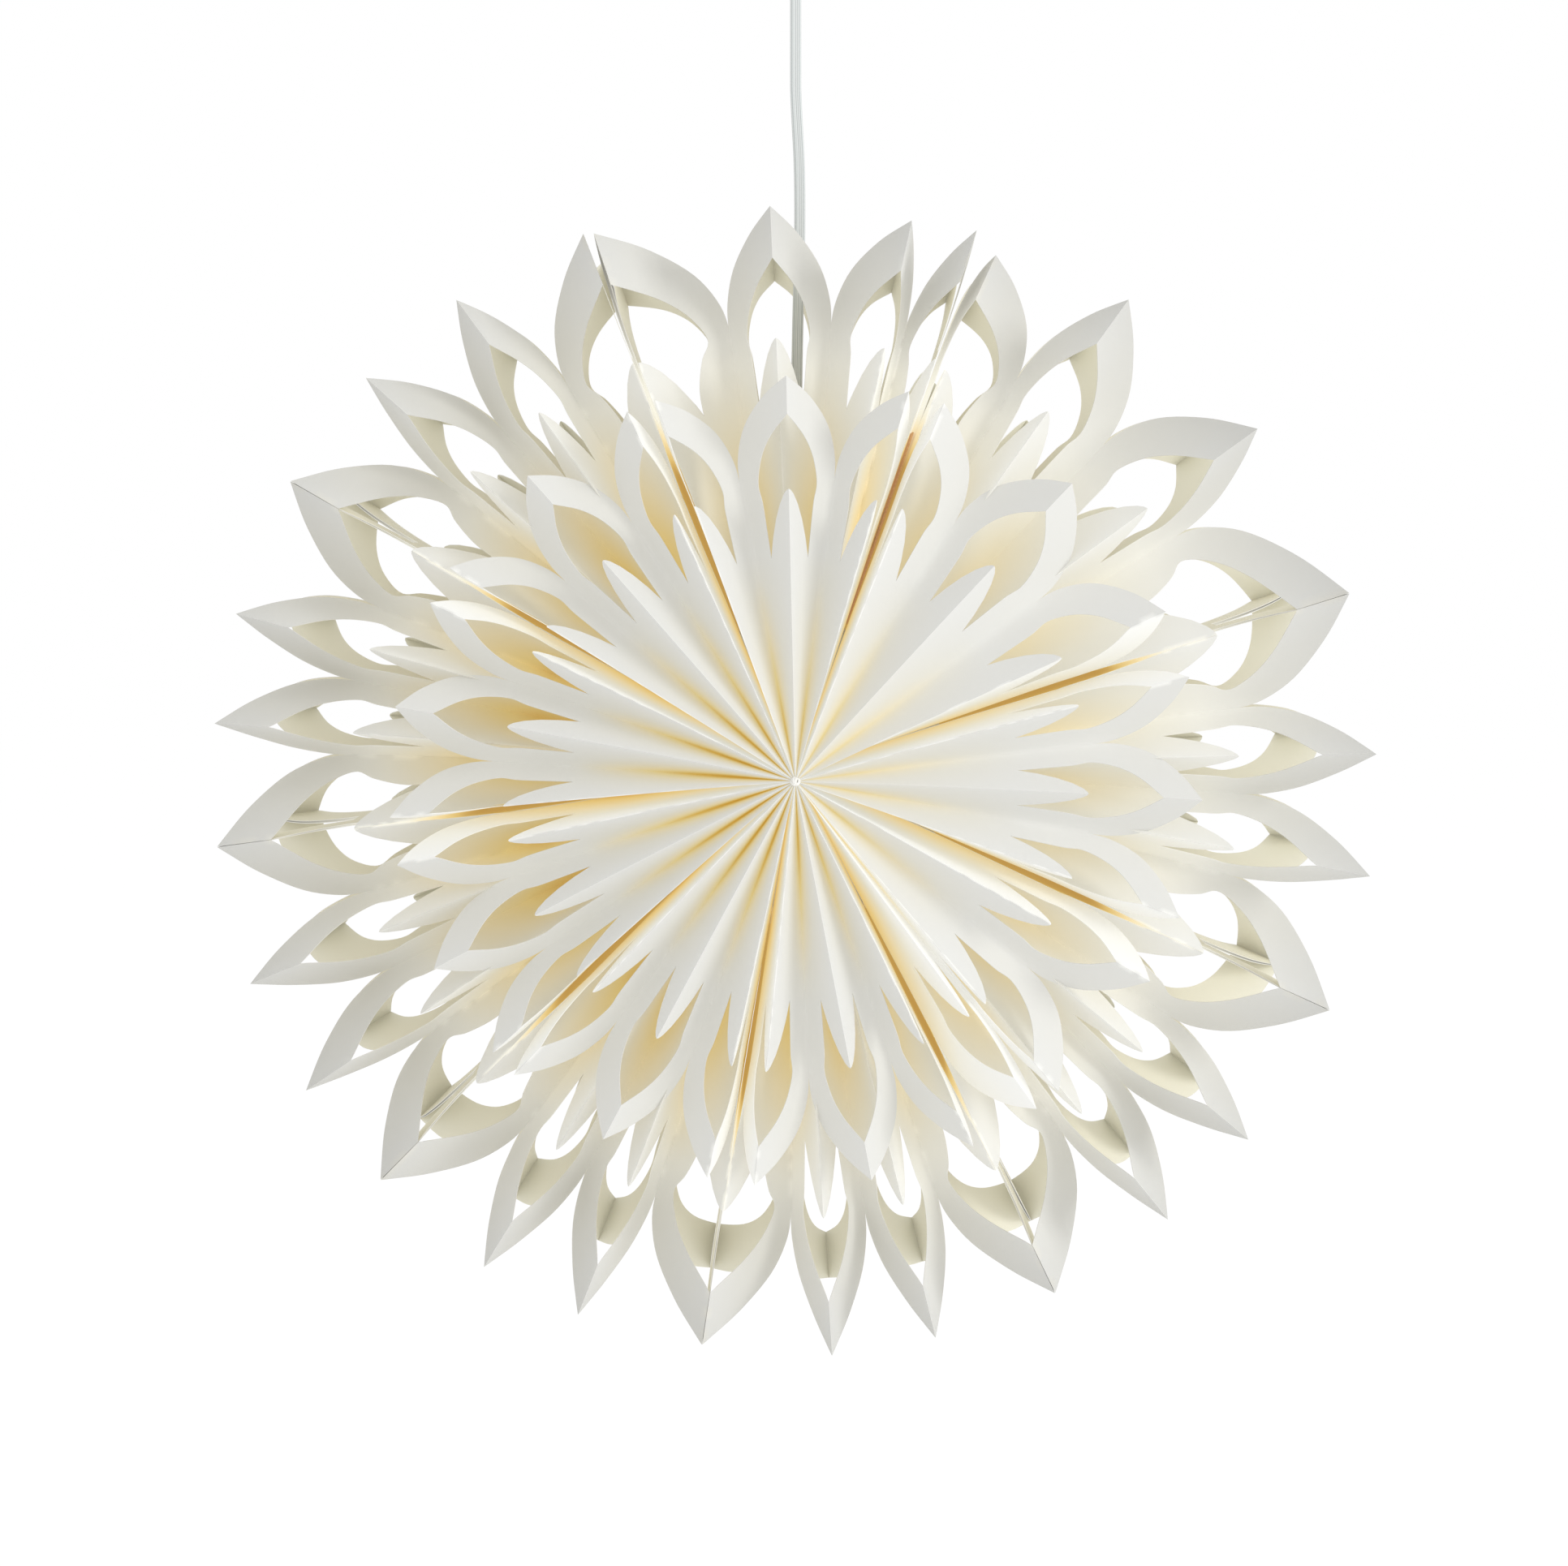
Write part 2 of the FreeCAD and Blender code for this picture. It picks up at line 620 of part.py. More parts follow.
def rounded_path(route):
    """Straight runs joined by tangent arcs; prints each arc's radius."""
    edges, reached = [], route[0]
    for before, corner, after in zip(route, route[1:], route[2:]):
        back, ahead = before - corner, after - corner
        shorter = min(back.Length, ahead.Length)
        turn = radians(180) - back.getAngle(ahead)
        trim = RUN_SHARE * shorter
        print("cord arc radius", round(trim / tan(turn / 2), 1))
        start, end = corner + back.normalize() * trim, corner + ahead.normalize() * trim
        bisector = (back + ahead).normalize()
        radius = trim / tan(turn / 2)
        centre = corner + bisector * (radius / cos(turn / 2))
        middle = centre - bisector * radius
        edges.append(Part.makeLine(reached, start))
        edges.append(Part.Arc(start, middle, end).toShape())
        reached = end
    edges.append(Part.makeLine(reached, route[-1]))
    return Part.Wire(edges)


def flat_section(centre):
    """The twin flex across: straight flanks and round edges."""
    half = size("cord_thick") / 2
    reach = size("cord_width") / 2 - half
    corners = [centre + Vector(x, y, 0) for x, y in
               ((-reach, -half), (reach, -half), (reach, half), (-reach, half))]
    right, left = centre + Vector(reach + half, 0, 0), centre - Vector(reach + half, 0, 0)
    return Part.Wire([
        Part.makeLine(corners[0], corners[1]),
        Part.Arc(corners[1], right, corners[2]).toShape(),
        Part.makeLine(corners[2], corners[3]),
        Part.Arc(corners[3], left, corners[0]).toShape(),
    ])


path = rounded_path(CORD_ROUTE)
section = flat_section(CORD_ROUTE[0])
cord_solid = path.makePipeShell([section], True, False)
print("cord volume", round(cord_solid.Volume), "section x length",
      round(Part.Face(section).Area * path.Length), "length", round(path.Length, 1))
cord = doc.addObject("Part::Feature", "cord")
cord.Shape = cord_solid
cord.Label = "cord"
sheets.append(cord)

doc.recompute()
os.makedirs("parts", exist_ok=True)
for item in doc.Objects:
    if "Invalid" in item.State or "Error" in item.State:
        raise RuntimeError(f"{item.Label} failed: {item.State}")
for item in sheets + pieces:
    shape = item.Shape
    if shape.isNull() or not shape.isValid():
        raise RuntimeError(f"{item.Label} has no valid shape")
    shape.exportStep(os.path.join("parts", item.Label + ".step"))
print(len(sheets + pieces), "pieces written")
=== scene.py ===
import bpy
import math
import numpy as np
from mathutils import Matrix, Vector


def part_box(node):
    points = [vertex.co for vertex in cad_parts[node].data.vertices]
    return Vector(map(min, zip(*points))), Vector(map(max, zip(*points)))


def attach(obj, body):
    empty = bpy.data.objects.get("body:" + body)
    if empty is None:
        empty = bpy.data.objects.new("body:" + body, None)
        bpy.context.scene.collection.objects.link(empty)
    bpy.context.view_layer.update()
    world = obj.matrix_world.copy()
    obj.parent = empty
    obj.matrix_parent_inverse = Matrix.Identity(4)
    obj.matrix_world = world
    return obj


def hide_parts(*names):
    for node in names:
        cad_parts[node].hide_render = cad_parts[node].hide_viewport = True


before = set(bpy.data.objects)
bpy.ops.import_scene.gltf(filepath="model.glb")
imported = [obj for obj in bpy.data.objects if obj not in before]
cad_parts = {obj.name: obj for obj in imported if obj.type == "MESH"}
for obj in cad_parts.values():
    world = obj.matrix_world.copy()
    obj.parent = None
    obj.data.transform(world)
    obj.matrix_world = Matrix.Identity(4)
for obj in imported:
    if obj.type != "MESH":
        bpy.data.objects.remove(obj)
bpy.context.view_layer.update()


# ---- Camera ----
# A long lens level with the cord, looking a little down on the star's face. Places are in
# metres, angles in degrees, and the lens in millimetres.
CAMERA_SIDE, CAMERA_BACK, CAMERA_HEIGHT = 0.0008, 1.854, -0.3445
CAMERA_PITCH, CAMERA_YAW = 4.475, 0.218
LENS, FILM_WIDTH, FARTHEST = 78.3, 36.0, 60.0
bpy.ops.object.camera_add(
    location=(CAMERA_SIDE, -CAMERA_BACK, CAMERA_HEIGHT),
    rotation=(math.radians(90 - CAMERA_PITCH), 0, math.radians(CAMERA_YAW)))
camera = bpy.context.object
camera.name = "product_camera"
camera.data.lens = LENS
camera.data.sensor_width = FILM_WIDTH
camera.data.clip_end = FARTHEST
bpy.context.scene.camera = camera


# ---- Cord ----
# Clear flat twin lighting flex, 6.0 by 3.2 mm: two tinned copper strands in one ribbed PVC
# jacket. The star's weight pulls it straight; a slight set from its coil stays near the top.
CORD_ROUTE = [(0.0, 0, -0.046), (0.0, 0, -0.108), (0.0, 0, -0.12), (0.003, 0, -0.172),
              (0.0, 0, -0.284), (0.0, 0, -0.4)]
CORD_WIDTH = 0.006
# Each strand is a lobe. The jacket narrows between them, and fine ribs run along it.
LOBE_RADIUS, LOBE_OFFSET, LOBE_STEP = 0.0016, 0.0014, 4.0
WAIST_DEPTH, WAIST_WIDTH = 0.16, 0.0007
RIBS, RIB_HEIGHT = 11, 0.00006
CORD_ROUND, CORD_RINGS = 96, 240
SPLINE_ORDER, SPLINE_STEPS = 3, 24


def linear(code):
    """Linear colour of an sRGB hex code, with alpha 1."""
    parts = [int(code[n:n + 2], 16) / 255 for n in (1, 3, 5)]
    low = [p / 12.92 if p <= 0.04045 else ((p + 0.055) / 1.055) ** 2.4 for p in parts]
    return (*low, 1.0)


def add_node(tree, kind, settings=None, links=None):
    """Adds a node, sets its properties and sockets, and links outputs to its inputs."""
    node = tree.nodes.new(kind)
    for name, value in (settings or {}).items():
        if name in node.inputs:
            node.inputs[name].default_value = value
        else:
            setattr(node, name, value)
    for name, source in (links or {}).items():
        tree.links.new(source, node.inputs[name])
    return node


def new_finish(name):
    """A material with one Principled shader; returns the material, its tree and the shader."""
    finish = bpy.data.materials.new(name)
    finish.use_nodes = True
    tree = finish.node_tree
    tree.nodes.clear()
    shader = add_node(tree, "ShaderNodeBsdfPrincipled")
    add_node(tree, "ShaderNodeOutputMaterial", links={"Surface": shader.outputs["BSDF"]})
    return finish, tree, shader


def colour_steps(ramp, steps):
    """Sets a colour ramp's stops from (place, hex code) pairs."""
    stops = ramp.color_ramp.elements
    while len(stops) > 1:
        stops.remove(stops[-1])
    stops[0].position, stops[0].color = steps[0][0], linear(steps[0][1])
    for place, code in steps[1:]:
        stops.new(place).color = linear(code)


def points_along(route, count):
    """Evenly spaced points of the smooth curve that a route's points control."""
    curve = bpy.data.curves.new("route_line", "CURVE")
    curve.dimensions = "3D"
    spline = curve.splines.new("NURBS")
    spline.points.add(len(route) - 1)
    for place, spot in zip(spline.points, route):
        place.co = (*spot, 1.0)
    spline.order_u = SPLINE_ORDER
    spline.use_endpoint_u = True
    spline.resolution_u = SPLINE_STEPS
    holder = bpy.data.objects.new("route_line", curve)
    bpy.context.collection.objects.link(holder)
    bpy.context.view_layer.update()
    line = bpy.data.meshes.new_from_object(holder)
    spots = np.array([tuple(v.co) for v in line.vertices])
    bpy.data.objects.remove(holder)
    bpy.data.meshes.remove(line)
    bpy.data.curves.remove(curve)
    run = np.concatenate([[0], np.cumsum(np.linalg.norm(np.diff(spots, axis=0), axis=1))])
    even = np.linspace(0, run[-1], count)
    return np.stack([np.interp(even, run, spots[:, n]) for n in range(3)], axis=1)


def grid_sheet(name, across, along):
    """A flat grid primitive of across by along squares; returns it and each vertex's place on
    it, from 0 to 1 both ways."""
    bpy.ops.mesh.primitive_grid_add(x_subdivisions=across, y_subdivisions=along, size=2.0)
    piece = bpy.context.object
    piece.name = name
    piece.data.name = name
    flat = np.empty(len(piece.data.vertices) * 3)
    piece.data.vertices.foreach_get("co", flat)
    flat = flat.reshape(-1, 3)
    return piece, (flat[:, 0] + 1) / 2, (flat[:, 1] + 1) / 2


def put_vertices(piece, spots):
    """Moves the piece's vertices to these spots."""
    piece.data.vertices.foreach_set("co", np.asarray(spots, dtype=float).ravel())
    piece.data.update()


def select_only(pieces):
    """Selects these objects and makes the first one active."""
    bpy.ops.object.select_all(action="DESELECT")
    for piece in pieces:
        piece.select_set(True)
    bpy.context.view_layer.objects.active = pieces[0]


def close_up(piece, gap=1e-6, turn_faces=True):
    """Merges vertices that meet and turns the faces outward."""
    select_only([piece])
    bpy.ops.object.mode_set(mode="EDIT")
    bpy.ops.mesh.select_all(action="SELECT")
    bpy.ops.mesh.remove_doubles(threshold=gap)
    if turn_faces:
        bpy.ops.mesh.normals_make_consistent(inside=False)
    bpy.ops.object.mode_set(mode="OBJECT")


def mark_vertices(piece, name, values):
    """Stores one number per vertex for the piece's material."""
    layer = piece.data.attributes.new(name, "FLOAT", "POINT")
    layer.data.foreach_set("value", np.asarray(values, dtype=float))


cord_line = points_along(CORD_ROUTE, CORD_RINGS + 1)
cord, round_share, along_share = grid_sheet("twin_cord", CORD_ROUND, CORD_RINGS)
turn = round_share * 2 * math.pi
lobe_x = np.cos(turn) * LOBE_RADIUS + np.tanh(np.cos(turn) * LOBE_STEP) * LOBE_OFFSET
waist = 1 - WAIST_DEPTH * np.exp(-(lobe_x / WAIST_WIDTH) ** 2)
lobe_y = np.sin(turn) * LOBE_RADIUS * waist
rib = RIB_HEIGHT * np.cos(lobe_x / CORD_WIDTH * RIBS * 2 * math.pi)
ribbed_y = lobe_y + np.sign(lobe_y) * np.abs(np.sin(turn)) * rib
centres = cord_line[np.rint(along_share * CORD_RINGS).astype(int)]
put_vertices(cord, np.stack([centres[:, 0] + lobe_x, centres[:, 1] - ribbed_y, centres[:, 2]],
                            axis=1))
mark_vertices(cord, "across", lobe_x / CORD_WIDTH + 0.5)
close_up(cord)
bpy.ops.object.shade_smooth()

clear_pvc, tree, shader = new_finish("clear_pvc_jacket")
# Clear soft PVC over bright strands: pale grey with lengthwise light and dark lines, which are
# painted highlights on its ribs and painted shade at its sides and in the groove between the
# strands.
lines = add_node(tree, "ShaderNodeAttribute", {"attribute_name": "across"})
rib_highlights_and_shade = add_node(tree, "ShaderNodeValToRGB", links={"Fac": lines.outputs["Fac"]})
colour_steps(rib_highlights_and_shade, [(0.0, "#AEB3B3"), (0.08, "#DDE0DF"), (0.16, "#A9AFAF"), (0.24, "#D4D8D7"),
                       (0.36, "#C0C5C4"), (0.44, "#E2E4E3"), (0.5, "#9AA0A0"), (0.56, "#DFE2E1"),
                       (0.66, "#B9BEBD"), (0.76, "#D9DCDB"), (0.85, "#A4AAAA"), (0.93, "#D7DBDA"),
                       (1.0, "#B4B9B9")])
tree.links.new(rib_highlights_and_shade.outputs["Color"], shader.inputs["Base Color"])
shader.inputs["Roughness"].default_value = 0.28
shader.inputs["IOR"].default_value = 1.53
cord.data.materials.append(clear_pvc)
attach(cord, "pendant")
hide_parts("cord")


# ---- Star bags ----
# Nine bags of white 120 g paper in a ring, each folded and glued to its neighbours down the
# middle of its flat sides. The paper was pleated and then die-cut, so every half pleat has
# the same outline: a spike, a leaf-shaped hole and a ring round it. Lengths are in mm.
STAR_HEIGHT = -480.0
HUB = 8.0
CAVITY = 80.5
# Fold angles in degrees round the star. reach is how far each star fold's tip stands out and
# lean how far the two seam tips are turned, as the star was opened by hand.
MODULES = [
    {"seam": 71.2, "front": (74.0, 91.3, 110.0), "star": (78.5, 92.5),
     "reach": (1.005, 0.993, 0.999, 1.012), "lean": (0.9, -1.4)},
    {"seam": 111.3, "front": (114.2, 130.8, 147.8), "star": (124.6, 136.1),
     "reach": (1.018, 1.02, 1.02, 1.016), "lean": (-0.5, -0.5)},
    {"seam": 149.0, "front": (153.4, 168.9, 184.6), "star": (162.5, 173.5),
     "reach": (1.016, 1.0095, 1.0087, 1.0054), "lean": (-0.5, -0.5)},
    {"seam": 186.2, "front": (191.4, 207.0, 221.6), "star": (199.7, 211.7),
     "reach": (1.0054, 1.005, 1.0007, 0.995), "lean": (-0.5, 0.1)},
    {"seam": 223.3, "front": (226.0, 241.6, 257.4), "star": (237.0, 247.6),
     "reach": (0.995, 0.9987, 0.9976, 0.9894), "lean": (0.1, 0.2)},
    {"seam": 260.3, "front": (264.2, 280.9, 296.2), "star": (273.7, 284.3),
     "reach": (0.9894, 0.997, 0.9937, 0.993), "lean": (0.2, -0.3)},
    {"seam": 297.5, "front": (306.6, 310.6, 331.0), "star": (310.8, 322.2),
     "reach": (0.993, 0.9944, 0.9978, 1.003), "lean": (-0.3, 0.3)},
    {"seam": 337.2, "front": (340.9, 357.9, 375.4), "star": (351.4, 363.5),
     "reach": (1.003, 1.005, 1.004, 1.01), "lean": (0.3, 0.3)},
    {"seam": 379.3, "front": (385.2, 407.6, 428.8), "star": (398.1, 415.9),
     "reach": (1.01, 1.005, 1.0142, 0.976), "lean": (0.3, -1.7)},
]
STAR_CUT = {"spike": 231.0, "notch": 196.0, "inside": 273.0, "tip": 300.0, "valley": 241.0}
STAR_POLE, STAR_RISE, STAR_FALL = 43.0, 0.165, 0.125
SAG_AT_TIP = 5.7
TIP_RADIUS = 300.0
# In metres: the sheets are drawn 0.3 mm thick, twice the real paper, to stay sound solids.
PAPER, FOLD_GAP = 0.0003, 2e-5
SMOOTH_ANGLE = 50.0
WIDE_SHARE = 0.68
SOFT_FOLD = 1.45
# The blank's outline. Shares run from 0 at the ridge to 1 at the valley, and lifts from 0 at
# the inner radius of a stretch to 1 at its outer radius.
BLANK_GAP = 0.0005
NOTCH_SHARE = 0.52
CROWN = np.array([0, 0.035, 0.1, 0.2, 0.31, 0.42, NOTCH_SHARE])
FOOT_COLUMNS = 5
LEAF_ROWS, LEAF_SPREAD = 18, 0.85
SPIKE_ROWS, SPIKE_CURVE = 9, 1.6
RING_COLUMNS, RING_ROWS = 5, 30
RING_STOPS = [0, 0.2, 0.38, 0.52, 0.68, 0.84, 1.0]
HOLE, WIDE_HOLE = 0.625, 0.76
HOLE_SHARE = np.array([0, 0.34, 0.534, HOLE, 0.58, 0.55, NOTCH_SHARE])
HOLE_STRETCH = np.array([1, 1, 1, 1, 0.6, 0, 0])
HOLE_LIFT = np.array([1.0, 0.837, 0.68, 0.529, 0.393, 0.19, 0.0])
OUTER_SHARE = [0, 0.41, 0.77, 0.94, 1, 1, 1]
TIP_LIFT = np.array([1.0, 0.8, 0.52, 0.26, 0.0])
NOTCH_DROP = np.array([0.5, 1.0])


def star_places(angle, radius, depth, side):
    """Places in metres of points given by angle, radius and depth; the paper sags a little
    towards its tips."""
    turn = np.radians(angle)
    sag = SAG_AT_TIP * (radius / TIP_RADIUS) ** 2
    spots = np.stack([radius * np.cos(turn), -side * depth,
                      STAR_HEIGHT + radius * np.sin(turn) - sag], axis=1)
    return spots / 1000


def smooth_between(share, stops, values):
    """A smooth curve through values at the stops, by cubic pieces."""
    stops, values = np.asarray(stops, float), np.asarray(values, float)
    slopes = np.gradient(values, stops)
    index = np.clip(np.searchsorted(stops, share, side="right") - 1, 0, len(stops) - 2)
    width = stops[index + 1] - stops[index]
    t = (share - stops[index]) / width
    return ((2 * t**3 - 3 * t**2 + 1) * values[index]
            + (t**3 - 2 * t**2 + t) * width * slopes[index]
            + (-2 * t**3 + 3 * t**2) * values[index + 1]
            + (t**3 - t**2) * width * slopes[index + 1])


def die_cut_blank(name, cut, start, hole):
    """Half a pleat, cut flat: each vertex's x is its share from ridge to valley and its y is
    its radius. hole is how far the leaf-shaped hole reaches across at its widest."""
    spike, notch, inside, tip, valley = (cut[k] for k in
                                         ("spike", "notch", "inside", "tip", "valley"))
    foot = NOTCH_SHARE + (1 - NOTCH_SHARE) * np.linspace(0, 1, FOOT_COLUMNS + 1)[1:]
    stations = np.concatenate([CROWN, foot])
    columns = len(stations) - 1
    leaf, across, along = grid_sheet(name, columns, LEAF_ROWS)
    share = stations[np.rint(across * columns).astype(int)]
    radius = start + (notch - start) * along**LEAF_SPREAD
    put_vertices(leaf, np.stack([share, radius, 0 * along], axis=1))
    columns = len(CROWN) - 1
    point, across, along = grid_sheet(name + "_spike", columns, SPIKE_ROWS)
    share = CROWN[np.rint(across * columns).astype(int)]
    reach = (spike - notch) * (1 - (share / NOTCH_SHARE) ** SPIKE_CURVE)
    put_vertices(point, np.stack([share, notch + reach * along, 0 * along], axis=1))
    ring, across, along = grid_sheet(name + "_ring", RING_COLUMNS, RING_ROWS)
    widened = HOLE_SHARE * (1 + (hole / HOLE - 1) * HOLE_STRETCH)
    inner_share = smooth_between(along, RING_STOPS, widened)
    inner_radius = smooth_between(along, RING_STOPS, notch + (inside - notch) * HOLE_LIFT)
    outer_share = np.minimum(smooth_between(along, RING_STOPS, OUTER_SHARE), 1.0)
    outline = np.concatenate([valley + (tip - valley) * TIP_LIFT,
                              valley + (notch - valley) * NOTCH_DROP])
    outer_radius = smooth_between(along, RING_STOPS, outline)
    put_vertices(ring, np.stack([inner_share + (outer_share - inner_share) * across,
                                 inner_radius + (outer_radius - inner_radius) * across,
                                 0 * along], axis=1))
    select_only([leaf, point, ring])
    bpy.ops.object.join()
    close_up(leaf, BLANK_GAP)
    return leaf


def blank_shares(blank):
    """Each vertex's share from ridge to valley, and its radius."""
    flat = np.empty(len(blank.data.vertices) * 3)
    blank.data.vertices.foreach_get("co", flat)
    flat = flat.reshape(-1, 3)
    return flat[:, 0], flat[:, 1]


# Painted lamplight: how far out the paper's painted glow reaches and over how many mm it fades,
# and how much more glows where the paper has painted tint.
LAMP_REACH, LAMP_FADE = 300.0, 80.0
PAPER_GAIN = 0.5


def near_hub(radius, reach, fade, least=0.0):
    """1 near the hub, falling to 0 over fade millimetres before the reach; not below least."""
    return np.clip((reach - radius) / fade, least, 1)


def half_pleat(blank, place, outward, lamplit, gain=PAPER_GAIN):
    """A copy of the blank, bent: place(share, radius) gives the spots and their painted tint of
    lamplight and shade. Its faces are turned to look along outward. lamplit is how much painted
    lamplight comes through away from the tips, as a glow, and gain how much more shows where the
    painted tint is deep."""
    share, radius = blank_shares(blank)
    spots, painted_glow_and_shade = place(share, radius)
    mesh = blank.data.copy()
    pleat = bpy.data.objects.new(blank.name + "_pleat", mesh)
    bpy.context.collection.objects.link(pleat)
    put_vertices(pleat, spots)
    mark_vertices(pleat, "painted_glow_and_shade", np.clip(painted_glow_and_shade, 0, 1))
    shone = lamplit * near_hub(radius, LAMP_REACH, LAMP_FADE)
    mark_vertices(pleat, "lamplight", shone + gain * np.clip(painted_glow_and_shade, 0, 1) ** 2)
    facing = sum(face.area * face.normal.dot(outward) for face in mesh.polygons)
    if facing < 0:
        mesh.flip_normals()
    return pleat


def paper_piece(name, pleats, node):
    """Joins half pleats into one folded sheet with the paper's thickness, which stands for
    the CAD node."""
    select_only(pleats)
    bpy.ops.object.join()
    sheet = pleats[0]
    sheet.name = name
    sheet.data.name = name
    close_up(sheet, FOLD_GAP, turn_faces=False)
    sheet.data.materials.clear()
    sheet.data.materials.append(paper_outside)
    sheet.data.materials.append(paper_inside)
    wall = sheet.modifiers.new("paper", "SOLIDIFY")
    wall.thickness = PAPER
    wall.offset = 0.0
    wall.material_offset = 1
    bpy.ops.object.modifier_apply(modifier="paper")
    bpy.ops.object.shade_smooth_by_angle(angle=math.radians(SMOOTH_ANGLE))
    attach(sheet, "pendant")
    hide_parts(node)


LIGHT_ANGLE = 15.0
SLIT_END, SLIT_SKEW, SLIT_TAPER = 240.0, 1.5, 3


def light_side(angle):
    """1 on the side of the star that lamplight evens out, 0 on the opposite side, where the folds
    get deeper painted shade and lamplight tint and a weaker painted glow."""
    return 0.5 + 0.5 * np.cos(np.radians(angle - LIGHT_ANGLE))


def seam_gap(radius, half_width):
    """Half the width of the slit between two bags: widest two thirds of the way out, and shut
    at the hub and at the slit's end."""
    share = np.clip(radius / SLIT_END, 0, 1)
    return half_width * np.abs(np.sin(math.pi * share**SLIT_SKEW)) ** SLIT_TAPER


def star_folds(index):
    """One bag's folds round the star: ridge, valley, ridge and so on, from seam to seam."""
    module, last = MODULES[index], index == len(MODULES) - 1
    start = module["seam"]
    end = MODULES[0]["seam"] + 360.0 if last else MODULES[index + 1]["seam"]
    one, two = module["star"]
    return [start, start + (one - start) * WIDE_SHARE, one, (one + two) / 2, two,
            end + (two - end) * WIDE_SHARE, end]


# A colour mix node's sockets by number, as their names repeat.
MIX_FACTOR, MIX_FIRST, MIX_SECOND, MIX_RESULT = 0, 6, 7, 2


def paper_finish(name, steps, glow, even=False):
    """Uncoated white paper, 120 g: matt and faintly fibrous. Its warm tint is painted lamplight,
    for light passed through it or between its folds, and painted shade, and its emission is a
    painted glow. even paper glows alike all over."""
    finish, tree, shader = new_finish(name)
    painted_glow_and_shade = add_node(tree, "ShaderNodeAttribute", {"attribute_name": "painted_glow_and_shade"})
    place = add_node(tree, "ShaderNodeTexCoord")
    cloud = add_node(tree, "ShaderNodeTexNoise", {"Scale": 45.0, "Detail": 2.0},
                     {"Vector": place.outputs["Object"]})
    # Fibres are 0.03 mm wide; they are drawn at 0.8 mm so that they show.
    fibre = add_node(tree, "ShaderNodeTexNoise", {"Scale": 1250.0, "Detail": 3.0},
                     {"Vector": place.outputs["Object"]})
    uneven = add_node(tree, "ShaderNodeMapRange", {"To Min": -0.02, "To Max": 0.02},
                      {"Value": cloud.outputs["Fac"]})
    glow_shade_and_mottle = add_node(tree, "ShaderNodeMath", {"operation": "ADD"})
    tree.links.new(painted_glow_and_shade.outputs["Fac"], glow_shade_and_mottle.inputs[0])
    tree.links.new(uneven.outputs["Result"], glow_shade_and_mottle.inputs[1])
    tint = add_node(tree, "ShaderNodeValToRGB", links={"Fac": glow_shade_and_mottle.outputs["Value"]})
    colour_steps(tint, steps)
    tree.links.new(tint.outputs["Color"], shader.inputs["Base Color"])
    # Painted lamplight: emission stands for the light that comes through the paper and off its
    # folds.
    lamplight = add_node(tree, "ShaderNodeAttribute", {"attribute_name": "lamplight"})
    lit = add_node(tree, "ShaderNodeMix", {"data_type": "RGBA", "blend_type": "MULTIPLY"})
    lit.inputs[MIX_FACTOR].default_value = 1.0
    tree.links.new(tint.outputs["Color"], lit.inputs[MIX_FIRST])
    tree.links.new(lamplight.outputs["Color"], lit.inputs[MIX_SECOND])
    tree.links.new(tint.outputs["Color"] if even else lit.outputs[MIX_RESULT],
                   shader.inputs["Emission Color"])
    shader.inputs["Emission Strength"].default_value = glow
    bump = add_node(tree, "ShaderNodeBump", {"Strength": 0.08, "Distance": 0.0002},
                    {"Height": fibre.outputs["Fac"]})
    tree.links.new(bump.outputs["Normal"], shader.inputs["Normal"])
    shader.inputs["Roughness"].default_value = 0.82
    shader.inputs["Specular IOR Level"].default_value = 0.25
    return finish


# Colour steps of the paper by its painted tint. Outside, 0 is the paper's own colour, and higher
# steps are the painted amber of lamplight and painted shade in its folds. Inside, the beige is
# painted shade and lamplight too. The glows are painted lamplight, as emission.
OUTSIDE_STEPS = [(0.0, "#C9C9C6"), (0.15, "#C9C7BE"), (0.35, "#CCC3A9"), (0.55, "#C9B986"),
                 (0.75, "#BA9C50"), (1.0, "#A67C26")]
INSIDE_STEPS = [(0.0, "#D8D6C8"), (0.3, "#D6D0BA"), (0.55, "#D2C49C"), (0.8, "#C2A562"),
                (1.0, "#AE8638")]
OUTSIDE_GLOW, INSIDE_GLOW = 0.5, 0.16
paper_outside = paper_finish("uncoated_white_paper", OUTSIDE_STEPS, OUTSIDE_GLOW)
paper_inside = paper_finish("uncoated_paper_inside", INSIDE_STEPS, INSIDE_GLOW, even=True)

# Side 1 is the star's front and side -1 its back.
OUTWARD = {1: (0, -1, 0), -1: (0, 1, 0)}


def sideways(angle, toward):
    """The direction square to a seam, towards larger angles or smaller ones."""
    turn = math.radians(angle)
    return (-math.sin(turn) * toward, 0, math.cos(turn) * toward)


star_blank = die_cut_blank("star_blank", STAR_CUT, HUB, HOLE)
wide_blank = die_cut_blank("wide_blank", STAR_CUT, HUB, WIDE_HOLE)
side_blank = die_cut_blank("side_blank", STAR_CUT, CAVITY, HOLE)
# The slit's half width, and the gaps that keep neighbouring bags apart.
SLIT_HALF = 1.7
SEAM_GAP, SIDE_SPREAD, GAP_OPENS = 0.15, 0.6, 80.0
STRIP_GAP = SEAM_GAP + SIDE_SPREAD
# How much painted lamplight the paper shows as a glow: a pleat narrower than FULL_STEP degrees
# shows more.
SLIT_LIGHT, SLIT_GAIN = 1.4, -1.0
STAR_LIGHT, STAR_LIGHT_SIDE, STAR_GAIN = 0.65, 0.4, 0.6
NARROW_LIGHT, FULL_STEP = 0.9, 5.5
